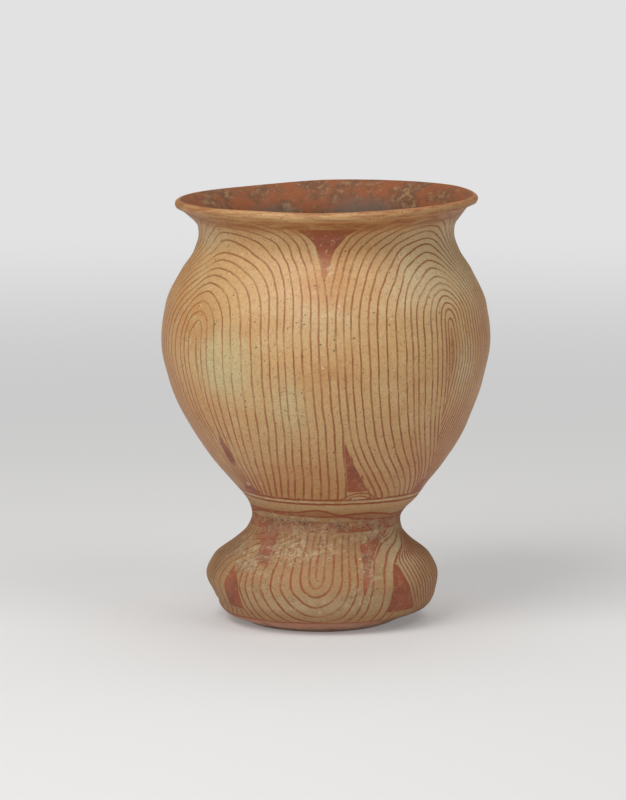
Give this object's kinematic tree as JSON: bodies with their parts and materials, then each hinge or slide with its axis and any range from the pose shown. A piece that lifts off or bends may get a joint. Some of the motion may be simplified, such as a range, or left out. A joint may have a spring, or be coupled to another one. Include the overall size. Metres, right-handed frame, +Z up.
{
  "type": "pottery vase",
  "caption": "Hand-built earthenware vase: flared lip, round belly and hollow bulbous pedestal foot, painted in red whorls on a buff ground.",
  "frame": {"origin": "middle of the footprint, on the surface that the vase stands on", "axes": "+Z up through the mouth; -Y faces the camera of the picture, with the two front whorls to its left and right"},
  "size_m": [0.2235, 0.2236, 0.292],
  "materials": {
    "standing_ring": "worn red slip, matt",
    "foot_bulb_lower": "red lines on burnished buff",
    "foot_bulb_upper": "red lines on burnished buff with soil crust",
    "stem_collar": "worn red slip, matt",
    "outer_luting_coil": "red lines on burnished buff",
    "inner_luting_coil": "bare fired clay, matt",
    "bowl_floor": "bare fired clay, matt",
    "lower_bowl_ring": "red lines on burnished buff",
    "upper_bowl_ring": "red lines on burnished buff",
    "belly_ring": "red lines on burnished buff",
    "shoulder_ring": "red lines on burnished buff",
    "neck_collar": "burnished buff, red slip inside",
    "lip_coil": "burnished buff, red slip inside"
  },
  "bodies": {
    "root": {"standing_ring": "standing_ring", "foot_bulb_lower": "foot_bulb_lower", "foot_bulb_upper": "foot_bulb_upper", "stem_collar": "stem_collar", "outer_luting_coil": "outer_luting_coil", "inner_luting_coil": "inner_luting_coil", "bowl_floor": "bowl_floor", "lower_bowl_ring": "lower_bowl_ring", "upper_bowl_ring": "upper_bowl_ring", "belly_ring": "belly_ring", "shoulder_ring": "shoulder_ring", "neck_collar": "neck_collar", "lip_coil": "lip_coil"}
  },
  "joints": []
}
